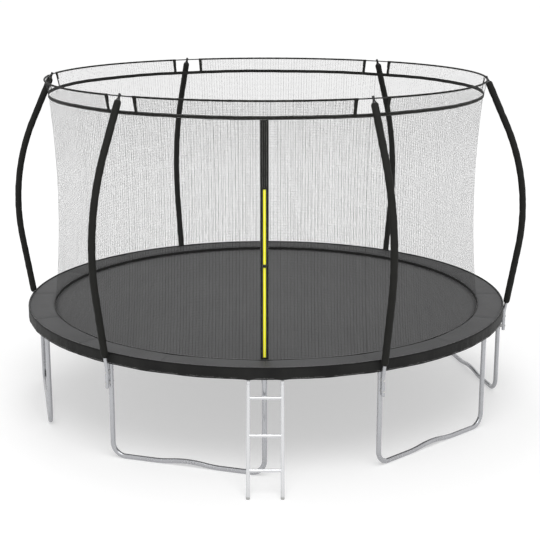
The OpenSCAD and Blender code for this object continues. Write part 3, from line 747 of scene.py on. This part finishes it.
def hoop_of_cloth(name, route, columns=960):
    """Cloth that goes round the trampoline; route(a) gives its (radius, height) outline."""
    verts, uvs = [], []
    for a in [2 * math.pi * c / columns for c in range(columns)]:
        for r, z in route(a):
            verts.append(polar(r, a, z))
            uvs.append((a * PAD_OUT, z))
    faces = strips(columns, len(verts) // columns, close_rows=True, close_columns=True)
    return piece(name, verts, [f[::-1] for f in faces], skirt_cloth, uvs)


def skirt_route(a):
    """From the seam on the pad's top, round the rim, down to the hem and back up inside.

    It nips in at the pad's seams, hangs in waves between the poles and lies over the
    ladder's tubes."""
    seam = abs((a / SECTION + 0.5) % 1 - 0.5) * SECTION * PAD_OUT
    pole = abs(((a - POLE0) / STEP + 0.5) % 1 - 0.5) * STEP * PAD_OUT
    tube = abs(abs((a + 1.5 * math.pi) % (2 * math.pi) - math.pi) - LADDER_A) * PAD_OUT
    pushed = 1 / (1 + (tube / 0.030) ** 4)
    nip, loose = math.exp(-(seam / 0.012) ** 2), 1 - math.exp(-(pole / 0.045) ** 2)
    points = []
    for dr, dz in ((-0.013, 0.0016), (-0.010, 0.0024), (-0.0045, 0.0016), (-0.0012, -0.0015),
                   (0.0, -0.006), (0.0, -0.018), (0.0003, -0.032), (0.0, -0.046),
                   (-0.0004, -0.062), (0.0002, -0.076), (0.0006, -0.088), (0.0, -0.090),
                   (-0.0022, -0.0898), (-0.0028, -0.088), (-0.0030, -0.062), (-0.0026, -0.030),
                   (-0.0030, -0.010), (-0.0050, -0.0035), (-0.010, -0.0012), (-0.013, -0.0004)):
        drop = min(1.0, -min(dz, 0) / 0.08)
        wave = drop * loose * (0.0012 * math.sin(a * 37 + 1.0) + 0.0008 * math.sin(a * 83)
                               + 0.0004 * math.sin(a * 151 + 2))
        pull = -0.0016 * nip * (1 - abs(2 * drop - 1))
        lift = drop ** 3 * 0.0012 * math.sin(a * 29 + 0.4)
        z = PAD_Z1 + dz + lift
        over = pushed * (0.15 * min(max(0.030 - z, 0.0), 0.030) + 0.11 * max(-z, 0.0))
        points.append((PAD_OUT - 0.0015 + dr + wave + pull + over, z))
    return points


def binding_route(a):
    """A tape folded over the pad's inner edge that hangs almost to the mat."""
    wave = 0.0003 * math.sin(a * 61) + 0.0002 * math.sin(a * 143)
    return [(PAD_IN + dr + wave * min(1.0, (PAD_Z1 - z) / 0.03), z) for dr, z in (
        (0.0040, 0.0290), (0.0024, 0.0284), (0.0011, 0.0268), (0.0005, 0.0225), (0.0004, 0.0160),
        (0.0006, 0.0080), (0.0010, 0.0030), (0.0016, 0.0022), (0.0024, 0.0030), (0.0022, 0.0120),
        (0.0020, 0.0215), (0.0024, 0.0250), (0.0032, 0.0268), (0.0042, 0.0276))]


skirt = hoop_of_cloth("pad_skirt", skirt_route)
binding = hoop_of_cloth("pad_inner_binding", binding_route, 720)
pad_rows = join("pad_stitches", [stitched(circle(PAD_OUT - 0.0007, PAD_Z1 - 0.080, 900)),
                                 stitched(circle(PAD_OUT - 0.0105, PAD_Z1 + 0.0027, 900)),
                                 stitched(circle(PAD_IN + 0.0032, 0.0291, 900))])
for made in (pad, skirt, binding, pad_rows):
    ride_on(made, "frame")

# ------------------------------------------------------------------ safety net
# Knitted polyester: flat black threads, close together upright and further apart
# level, in panels joined at the poles. Its foot stands on the mat's edge.
NET_WAIST, NET_WAIST_Z, NET_ARC, NET_MEAN_R = 1.7814, 0.988, 8.0, 1.81
NET_Z0, NET_FOLLOWS = 0.002, 0.4  # height of its foot, and up to where it follows the mat
THREAD_SHARE = 0.3001  # thread surface in one square metre of netting
BAND_Z, BAND_H = 1.822, 0.028
NET_TOP_Z = BAND_Z + BAND_H / 2
net_thread = material("net_thread", thread_paint, Specular_IOR_Level=0.15)


def net_r(z):
    """Outside radius of the net wall at height z."""
    return NET_WAIST + NET_ARC - math.sqrt(NET_ARC ** 2 - (z - NET_WAIST_Z) ** 2)


def add_thread(verts, faces, points, sideways, outward, width):
    """Adds a flat three-sided thread along points to the lists."""
    start = len(verts)
    for p, side, out in zip(points, sideways, outward):
        verts += [p - side * (width * 0.5), p + side * (width * 0.5), p + out * (width * 0.045)]
    for a in range(start, len(verts) - 3, 3):
        for i in range(3):
            j = (i + 1) % 3
            faces.append((a + i, a + j, a + 3 + j, a + 3 + i))
    last = len(verts) - 3
    faces += [(start + 2, start + 1, start), (last, last + 1, last + 2)]


def netting(name, a0, a1, z0, z1, radius, seed, up=0.0065, level=0.0120, width=0.00094, rows=12):
    """Threads over the wall between two angles and two heights; radius(z) is the wall.

    `up` and `level` are the spacings of upright and level threads. Every fourth
    upright one is a thicker cord."""
    chance = random.Random(seed)
    verts, faces = [], []
    count = max(2, round((a1 - a0) * radius(z0) / up))
    heights = [z0 + (z1 - z0) * k / rows for k in range(rows + 1)]
    for j in range(count + 1):
        cord = 1.90 if j % 4 == 0 else 0.70
        a = a0 + (a1 - a0) * (j + (chance.uniform(-0.10, 0.10) if 0 < j < count else 0)) / count
        drift = chance.uniform(-0.0003, 0.0003)
        outs = [Vector(polar(1, a + drift * math.sin(k * 0.9), 0)) for k in range(rows + 1)]
        points = [o * (radius(z) - 0.0010) + Vector((0, 0, z)) for o, z in zip(outs, heights)]
        add_thread(verts, faces, points, [Vector((-o.y, o.x, 0)) for o in outs], outs,
                   width * cord * chance.uniform(0.8, 1.2))
    turns = max(2, round((a1 - a0) / math.radians(2.0)))
    outs = [Vector(polar(1, a0 + (a1 - a0) * k / turns, 0)) for k in range(turns + 1)]
    lines = round((z1 - z0) / level)
    for j in range(lines + 1):
        z = z0 + (z1 - z0) * j / lines
        add_thread(verts, faces, [o * (radius(z) - 0.0013) + Vector((0, 0, z)) for o in outs],
                   [Vector((0, 0, 1))] * (turns + 1), outs, width * 0.9)
    return piece(name, verts, faces, net_thread, smooth=False)


def arc_length(z0, z1, steps=40):
    """Length of the net's curve from one height to another."""
    heights = [z0 + (z1 - z0) * k / steps for k in range(steps + 1)]
    return sum(math.hypot(b - a, net_r(b) - net_r(a)) for a, b in zip(heights, heights[1:]))


for i in range(POLES):
    a0 = POLE0 + i * STEP
    net = netting(f"net_wall_{i + 1}", a0, a0 + STEP, NET_Z0, NET_TOP_Z - 0.002, net_r, 70 + i)
    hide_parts(f"net_panel_{i + 1}")
    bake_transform(net)
    co = np.empty(len(net.data.vertices) * 3)
    net.data.vertices.foreach_get("co", co)
    flat = (STEP * NET_MEAN_R, arc_length(NET_Z0, NET_TOP_Z))
    THREAD_SHARE * flat[0] * flat[1]

# ------------------------------------------------------------------ hoop, top strip and straps
# A fibreglass rod runs through the six pole tips. The net's top strip is sewn round
# it between the poles, and a flat strap at each end of a strip ties it to the band.
tip_r, tip_z, tip_lean = pole_point(sum(
    size if turn == 0 else size * math.radians(abs(turn)) for turn, size in POLE_STEPS))
TIP_TO_HOOP = 0.031
HOOP_R = tip_r + TIP_TO_HOOP * math.sin(tip_lean)
HOOP_Z = tip_z + TIP_TO_HOOP * math.cos(tip_lean)
STRAP_A, STRAP_HALF = math.radians(4.2), 0.014
STRAP_HALF_A = STRAP_HALF / HOOP_R
STRIP_MEAN_R, STRIP_PART = 1.84, 0.82  # mean radius, and the share of a turn that is netting


def strip_r(z):
    """Outside radius of the net's top strip between the band and the hoop."""
    part = (z - NET_TOP_Z) / (HOOP_Z - NET_TOP_Z)
    return net_r(NET_TOP_Z) + (HOOP_R - net_r(NET_TOP_Z)) * part


def strap(a):
    """A strap from its sewn foot on the band, up to the hoop, over it and down inside."""
    out = Vector(polar(1, a, 0))
    side = Vector((-out.y, out.x, 0))
    route = [(net_r(BAND_Z) + 0.0052, BAND_Z - 0.010), (net_r(BAND_Z) + 0.0055, BAND_Z + 0.010)]
    route += [(strip_r(z) + 0.0030, z)
              for z in (NET_TOP_Z + 0.010, HOOP_Z - 0.050, HOOP_Z - 0.015)]
    route += [(HOOP_R + 0.0072 * math.cos(t), HOOP_Z + 0.0072 * math.sin(t))
              for t in [math.radians(d) for d in range(-10, 200, 20)]]
    route += [(strip_r(HOOP_Z - 0.035) - 0.0035, HOOP_Z - 0.030),
              (strip_r(HOOP_Z - 0.055) - 0.0030, HOOP_Z - 0.055)]
    points = [out * r + Vector((0, 0, z)) for r, z in route]
    last = len(points) - 1
    steps = [points[min(k + 1, last)] - points[max(k - 1, 0)] for k in range(last + 1)]
    return ribbon(points, [side] * len(points), [-s.cross(side).normalized() for s in steps],
                  STRAP_HALF, 0.0018, webbing)


tops, hems = [], []
for i in range(POLES):
    a0, a1 = POLE0 + i * STEP + STRAP_A, POLE0 + (i + 1) * STEP - STRAP_A
    tops.append(netting("top", a0 + STRAP_HALF_A, a1 - STRAP_HALF_A, NET_TOP_Z, HOOP_Z - 0.004,
                        strip_r, 90 + i, rows=2))
    arc = circle(HOOP_R, HOOP_Z, 220, a0 - STRAP_HALF_A, a1 + STRAP_HALF_A)
    pucker = [0.0078 + 0.0005 * math.sin(k * 0.9 + i) * math.sin(k * 0.37)
              for k in range(len(arc))]
    hems.append(BAR.run(path(arc, radius=pucker), "hem", Sides=12, Material=sleeve_cloth))
top_net = join("net_top_strip", tops, smooth=False)
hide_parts("net_top")
flat = (2 * math.pi * STRIP_MEAN_R * STRIP_PART, HOOP_Z - NET_TOP_Z)
THREAD_SHARE * flat[0] * flat[1]
pair = join("pair", [strap(POLE0 + s * STRAP_A) for s in (-1, 1)], smooth=False)
straps = AROUND.run(pair, "net_tie_straps", Count=POLES, Start=0.0, Step=STEP, Material=webbing)
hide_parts("net_straps")

# The band: doubled webbing sewn round the net, drawn a little wavy by the net's pull.
outs = [Vector(p) for p in circle(1.0, 0.0, 480)]
outs.append(outs[0])
middle = [o * (net_r(BAND_Z) + 0.0018 + 0.0005 * math.sin(2 * math.pi * i / 20))
          + Vector((0, 0, BAND_Z + 0.0012 * math.sin(2 * math.pi * i / 40)
                    + 0.0006 * math.sin(2 * math.pi * i / 9.6))) for i, o in enumerate(outs)]
band = ribbon(middle, [Vector((0, 0, 1))] * len(outs), outs, 0.0145, 0.0030, webbing)
band.name = band.data.name = "net_top_band"
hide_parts("net_band")
band_stitches = join("band_stitches", [
    stitched(circle(net_r(BAND_Z) + 0.0036, z, 720), pitch=0.009, half=0.0028)
    for z in (BAND_Z - 0.010, BAND_Z + 0.010)])
for made, slot in ((top_net, "netting"), (straps, "webbing"), (band, "webbing"),
                   (join("hoop_hem", hems), "sleeve_cover"), (band_stitches, "webbing")):
    ride_on(made, "frame")

# ------------------------------------------------------------------ zip door
# The doorway is a slit in one panel. Black webbing is sewn down both its edges,
# and a bright coil zip with two sliders closes it up to 1.3 m above the mat.
DOOR, ZIP0, ZIP1, ZIP_MEET = math.radians(-90.2), 0.042, 1.304, 0.730
WEB_OFF, WEB_HALF, TAPE_OFF, TAPE_HALF = 0.0158, 0.0157, 0.0047, 0.0046
WEB_TOP = BAND_Z - BAND_H / 2 - 0.001


def on_net(z, off, lift):
    """A point on the net at height z, `off` metres along it from the zip, `lift` outside it."""
    r = net_r(z) + lift
    return Vector(polar(r, DOOR + off / r, z))


def door_ribbon(off, half, z0, z1, lift, thick, finish, rows=80):
    """A band of webbing or tape that follows the net upwards from z0 to z1."""
    points = [on_net(z0 + (z1 - z0) * k / rows, off, lift) for k in range(rows + 1)]
    outs = [Vector((p.x, p.y, 0)).normalized() for p in points]
    return ribbon(points, [Vector((-o.y, o.x, 0)) for o in outs], outs, half, thick, finish)


def zip_tape_paint(point, uv):
    rib = (uv.axis("X") * (math.pi / 0.0009)).math("SINE").math("ABSOLUTE")
    cross = (uv.axis("Y") * (math.pi / 0.0014)).math("SINE").math("ABSOLUTE")
    cloud = point.noise(22.0, 3.0)
    return {"Base_Color": cloud.mix((0.97, 0.98, 0.002), (1.0, 1.0, 0.004)),
            "Roughness": cloud * 0.15 + 0.55, "height": rib * 0.6 + cross * 0.4, "depth": 0.0002}


# The tape and its coils also glow faintly yellow. This is painted light that makes them brighter,
# though they are no lamp.
zip_yellow = material("zip_yellow", zip_tape_paint, Specular_IOR_Level=0.0,
                      Emission_Color=(1.0, 1.0, 0.0, 1.0), Emission_Strength=0.12)
door_edge = join("door_edge_webbing", [
    door_ribbon(s * WEB_OFF, WEB_HALF, PAD_Z1 - 0.02, WEB_TOP, 0.0014, 0.0018, webbing)
    for s in (-1, 1)], smooth=False)
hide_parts("door_webbing")
tape = join("zip_tapes", [
    door_ribbon(s * TAPE_OFF, TAPE_HALF, ZIP0, ZIP1, 0.0038, 0.0012, zip_yellow)
    for s in (-1, 1)], smooth=False)
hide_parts("zip_tape")


def door_row(off, z0, z1, lift, pitch, size, finish, rows=160):
    """Small items down the door, such as stitches or the zip's coils."""
    line = [on_net(z0 + (z1 - z0) * k / rows, off, lift) for k in range(rows + 1)]
    return ALONG.run(path(line), "row", Pitch=pitch, Size=size, Material=finish)


zip_teeth = join("zip_coils", [door_row(off, ZIP0 + 0.004, ZIP1 - 0.004, 0.0050, 0.0026,
                                        (0.0015, 0.0021, 0.0008), zip_yellow)
                               for off in (-0.0014, 0.0014)])
door_rows = join("door_stitches", [door_row(off, PAD_Z1, WEB_TOP, 0.0026, 0.007,
                                            (0.0005, 0.0005, 0.0023), stitch)
                                   for off in (-0.0285, -0.0150, 0.0150, 0.0285)])
zip_ends = join("zip_end_tabs", [
    ribbon([on_net(z, s * 0.016, 0.0062) for s in (-1.0, -0.5, 0.0, 0.5, 1.0)],
           [Vector((0, 0, 1))] * 5, [Vector(polar(1, DOOR, 0))] * 5, 0.006, 0.0020, webbing)
    for z in (ZIP0 - 0.003, ZIP1 + 0.003)], smooth=False)
for made, slot in ((door_edge, "webbing"), (tape, "zip_yellow"), (zip_teeth, "zip_yellow"),
                   (door_rows, "webbing"), (zip_ends, "webbing")):
    ride_on(made, "frame")

# ------------------------------------------------------------------ zip sliders
# Two moulded black sliders meet half way up the zip. Each runs over the coils and has
# a bridge with a pull tab, which lies flat beside the zip.
def slider(name, node, body, z, to_side):
    """The slider whose middle is at height z, with its tab turned to one side."""
    out, up = Vector(polar(1, DOOR, 0)), Vector((0, 0, 1))
    side, foot = up.cross(out), on_net(z, 0.0, 0.0045)
    outline = [(-0.0090, -0.0056), (0.0090, -0.0056), (0.0112, -0.0036), (0.0112, 0.0036),
               (0.0090, 0.0056), (-0.0090, 0.0056), (-0.0112, 0.0036), (-0.0112, -0.0036)]
    layers = ((0.0, 0.92), (0.0012, 1.0), (0.0052, 1.0), (0.0066, 0.92), (0.0071, 0.78))
    verts = [foot + side * (x * k) + up * (y * k) + out * d for d, k in layers for x, y in outline]
    faces = strips(len(layers), len(outline), close_columns=True)
    faces += [tuple(range(len(outline)))[::-1], tuple(range(len(verts) - len(outline), len(verts)))]
    arch = [foot + up * (0.0034 * math.cos(t)) + out * (0.0066 + 0.0034 * math.sin(t))
            for t in [math.pi * k / 8 for k in range(9)]]
    bridge = BAR.run(path(arch, radius=0.0010), "bridge", Sides=8, Material=plastic)
    line = [foot + side * (to_side * d) + out * 0.0084 for d in (-0.003, 0.004, 0.012, 0.020, 0.027)]
    pull = ribbon(line, [up] * 5, [out] * 5, 0.0032, 0.0014, plastic)
    made = join(name, [piece("body", verts, faces, plastic), bridge, pull], smooth=False)
    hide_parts(node)
    ride_on(made, body)


slider("lower_slider", "zip_slider_lower", "zip_lower", ZIP_MEET - 0.006, -1)
slider("upper_slider", "zip_slider_upper", "zip_upper", ZIP_MEET + 0.006, 1)

# ------------------------------------------------------------------ ladder
# Light silver powder-coated tube with welded rungs. Two flat steel bars, welded to
# the tubes' fronts, hook over the rail behind the skirt, and grey feet plug the ends.
def coat_paint(point, uv):
    peel, cloud = point.noise(260.0, 2.0), point.noise(6.0, 3.0)
    worn = point.axis("Z").ramp(GROUND + 0.10, GROUND) * cloud
    return {"Base_Color": worn.mix((0.73, 0.735, 0.75), (0.62, 0.62, 0.62)),
            "Roughness": cloud * 0.08 + 0.16, "height": peel, "depth": 0.0001}


def foot_paint(point, uv):
    grain, cloud = point.noise(900.0, 3.0), point.noise(25.0, 3.0)
    return {"Base_Color": cloud.mix((0.34, 0.34, 0.34), (0.44, 0.44, 0.43)),
            "Roughness": grain * 0.2 + 0.6, "height": grain, "depth": 0.0003}


coat = material("ladder_coat", coat_paint, Metallic=0.40, Specular_IOR_Level=0.4)
dress(("ladder_rails", "ladder_rungs", "ladder_hooks"), coat)
dress(("ladder_feet",), material("ladder_foot", foot_paint))
TUBE_R, HOOK_R, FOOT_OUT, FOOT_LIFT, RUNGS = 0.014, 0.0242, 0.400, 0.0095, (0.178, 0.398, 0.640)
HOOK_Y, RAIL_Z = -math.sqrt(RAIL_R ** 2 - LADDER_X ** 2), -0.0093
FOOT = Vector((0, HOOK_Y - FOOT_OUT, GROUND + FOOT_LIFT))
BEND = Vector((0, HOOK_Y - 0.5 * HOOK_R, RAIL_Z - 1.2 * HOOK_R))  # bar and tube meet here
OFFSET, REACH = TUBE_R + 0.0023, (BEND - FOOT).length
LEAN = math.atan2(BEND.y - FOOT.y, BEND.z - FOOT.z) + math.asin(OFFSET / REACH)
UP = Vector((0, math.sin(LEAN), math.cos(LEAN)))
FRONT = Vector((0, -math.cos(LEAN), math.sin(LEAN)))
BAR_TOP = math.sqrt(REACH ** 2 - OFFSET ** 2)


def on_ladder(x, along, out=0.0):
    """A point at x, `along` the tubes from their lower ends, `out` in front of them."""
    return FOOT + UP * along + Vector((x, 0, 0)) + FRONT * out


def weld(points, thick, closed, seed):
    """A slightly uneven weld bead along points."""
    wobble = random.Random(seed)
    return BAR.run(path(points, closed, [thick * wobble.uniform(0.85, 1.15) for _ in points]),
                   "weld", Sides=8, Material=coat)


welds = []
for s in (-1, 1):
    for height in RUNGS:
        along, rung_r, ring = (height - FOOT_LIFT) / math.cos(LEAN), TUBE_R - 0.0015, []
        for t in [2 * math.pi * k / 40 for k in range(40)]:
            y, z = rung_r * math.cos(t), rung_r * math.sin(t)
            inset = math.sqrt(max((TUBE_R + 0.0003) ** 2 - y * y, 0.0))
            ring.append(on_ladder(s * (LADDER_X - inset), along + z, y))
        welds.append(weld(ring, 0.0021, True, int(height * 100) + s))
    for side in (-1, 1):
        welds.append(weld([on_ladder(s * LADDER_X + side * 0.0092, BAR_TOP - down / 1000, 0.0124)
                           for down in range(6, 49, 3)], 0.0022, False, 7 * s + side))
ride_on(join("ladder_welds", welds), "ladder")

# ------------------------------------------------------------------ floor, light and camera
# A plain white studio floor that keeps the object's shadow near it, a large soft
# lamp high in front of the door, a weaker one behind, and a white surround.
def is_seen(tree):
    """1 for rays that should meet a white background: camera, mirror and glass rays."""
    rays = tree.nodes.new("ShaderNodeLightPath")
    camera, mirror, glass = (Value(tree, rays.outputs[f"Is {kind} Ray"])
                             for kind in ("Camera", "Glossy", "Transmission"))
    return camera.math("MAXIMUM", mirror).math("MAXIMUM", glass)


world = bpy.data.worlds.new("studio")
world.use_nodes = True
bpy.context.scene.world = world
SKY_LIGHT = 0.62  # what the surround gives as light; it is full white where it is seen
sky = world.node_tree.nodes["Background"]
sky.inputs["Color"].default_value = (1.0, 1.0, 1.0, 1.0)
world.node_tree.links.new(is_seen(world.node_tree).ramp(0.0, 1.0, SKY_LIGHT, 1.0).socket,
                          sky.inputs["Strength"])

# Where the floor is seen it is half grey, which takes the shadow, and half its own glow,
# which grows with the distance. All other rays meet a plain white floor.
FLOOR = 200
floor = piece("floor", [(x, y, GROUND) for x, y in (
    (-FLOOR, -FLOOR), (FLOOR, -FLOOR), (FLOOR, FLOOR), (-FLOOR, FLOOR))],
              [(0, 1, 2, 3)], bpy.data.materials.new("floor"))
floor_paint = floor.data.materials[0]
floor_paint.use_nodes = True
tree = floor_paint.node_tree
tree.nodes.clear()
place = Value(tree, tree.nodes.new("ShaderNodeTexCoord").outputs["Object"])
away = place.put("ShaderNodeVectorMath", {0: place.stretch(1.0, 1.0, 0.0)}, out=1,
                 operation="LENGTH")
unseen = place.put("ShaderNodeBsdfDiffuse", {"Color": (0.95, 0.95, 0.95, 1.0)})
shaded = place.put("ShaderNodeBsdfDiffuse", {"Color": (0.58, 0.58, 0.58, 1.0)})
glow = place.put("ShaderNodeEmission", {"Strength": away.ramp(3.2, 12.0, 0.485, 0.66)})
both = place.put("ShaderNodeAddShader", {0: shaded, 1: glow})
tree.links.new(place.put("ShaderNodeMixShader", {0: is_seen(tree), 1: unseen, 2: both}).socket,
               tree.nodes.new("ShaderNodeOutputMaterial").inputs[0])


def lamp(name, place, aim, size, watts):
    light = bpy.data.lights.new(name, "AREA")
    light.shape = "DISK"
    light.size, light.energy = size, watts
    made = bpy.data.objects.new(name, light)
    made.location = place
    made.rotation_euler = (Vector(aim) - Vector(place)).to_track_quat("-Z", "Y").to_euler()
    bpy.context.scene.collection.objects.link(made)


lamp("key", (0.6, -6.8, 10.4), (0, 0, 0.5), 9.0, 660.0)
lamp("rear", (-2.0, 7.0, 9.0), (0, 0, 0.8), 6.0, 260.0)

LOOK_DOWN = 14.196  # degrees
lens = bpy.data.cameras.new("camera")
lens.lens, lens.sensor_width, lens.clip_end = 83.59, 36.0, 1000.0
camera = bpy.data.objects.new("camera", lens)
camera.location = (0.0338, -10.7096, 2.9578)
camera.rotation_euler = (math.radians(90 - LOOK_DOWN), 0.0, 0.0)
bpy.context.scene.collection.objects.link(camera)
bpy.context.scene.camera = camera
bpy.context.scene.view_settings.view_transform = "Standard"
